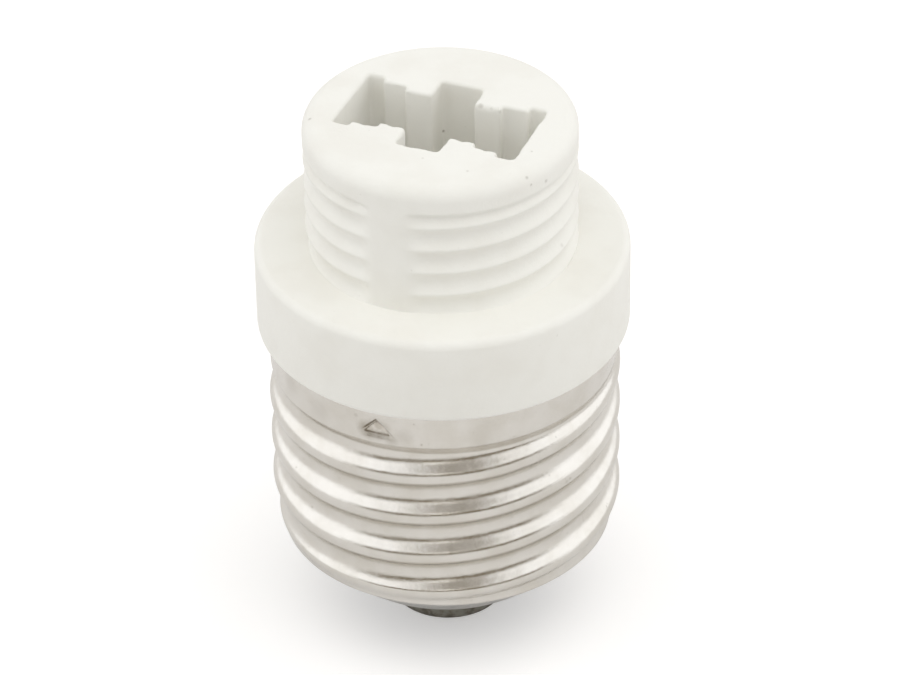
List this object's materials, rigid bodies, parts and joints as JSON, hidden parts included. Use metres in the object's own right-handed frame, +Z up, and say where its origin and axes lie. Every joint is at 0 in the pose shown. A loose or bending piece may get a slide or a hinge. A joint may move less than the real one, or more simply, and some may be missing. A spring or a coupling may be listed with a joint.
{
  "type": "lamp socket adapter",
  "caption": "Ceramic lamp socket adapter: a rolled screw cap with a centre contact below, a round flange, and a threaded neck with a slotted well for a two-pin capsule lamp above.",
  "frame": {"origin": "middle of the contact face that the adapter stands on, at the bottom of the object", "axes": "+Z up along the screw axis, +X along the long side of the lamp slot, +Y across it"},
  "size_m": [0.0276, 0.0276, 0.043],
  "materials": {
    "white_ceramic": "matt, unglazed",
    "rolled_nickel": "nickel plated, rolled, slightly tarnished",
    "black_insulator": "moulded, satin",
    "dull_contact": "tarnished, dull",
    "clip_bronze": "bare spring bronze",
    "spring_steel": "bare",
    "plate_ceramic": "matt, unglazed",
    "rivet_brass": "bare",
    "washer_steel": "zinc plated",
    "tinned_crimp": "tinned",
    "copper_wire": "bare copper",
    "lead_cover": "white silicone",
    "solder": "dull"
  },
  "bodies": {
    "root": {"ceramic_body": "white_ceramic", "screw_shell": "rolled_nickel", "base_insulator": "black_insulator", "centre_contact": "dull_contact", "contact_clip_right": "clip_bronze", "contact_clip_left": "clip_bronze", "clip_spring_right": "spring_steel", "clip_spring_left": "spring_steel", "closing_plate": "plate_ceramic", "plate_rivet_front": "rivet_brass", "plate_rivet_rear": "rivet_brass", "rivet_washer_front": "washer_steel", "rivet_washer_rear": "washer_steel", "crimp_sleeve_right": "tinned_crimp", "crimp_sleeve_left": "tinned_crimp", "centre_lead": "copper_wire", "shell_lead": "copper_wire", "centre_lead_sleeve": "lead_cover", "shell_lead_sleeve": "lead_cover", "centre_solder": "solder", "shell_solder": "solder"}
  },
  "joints": []
}
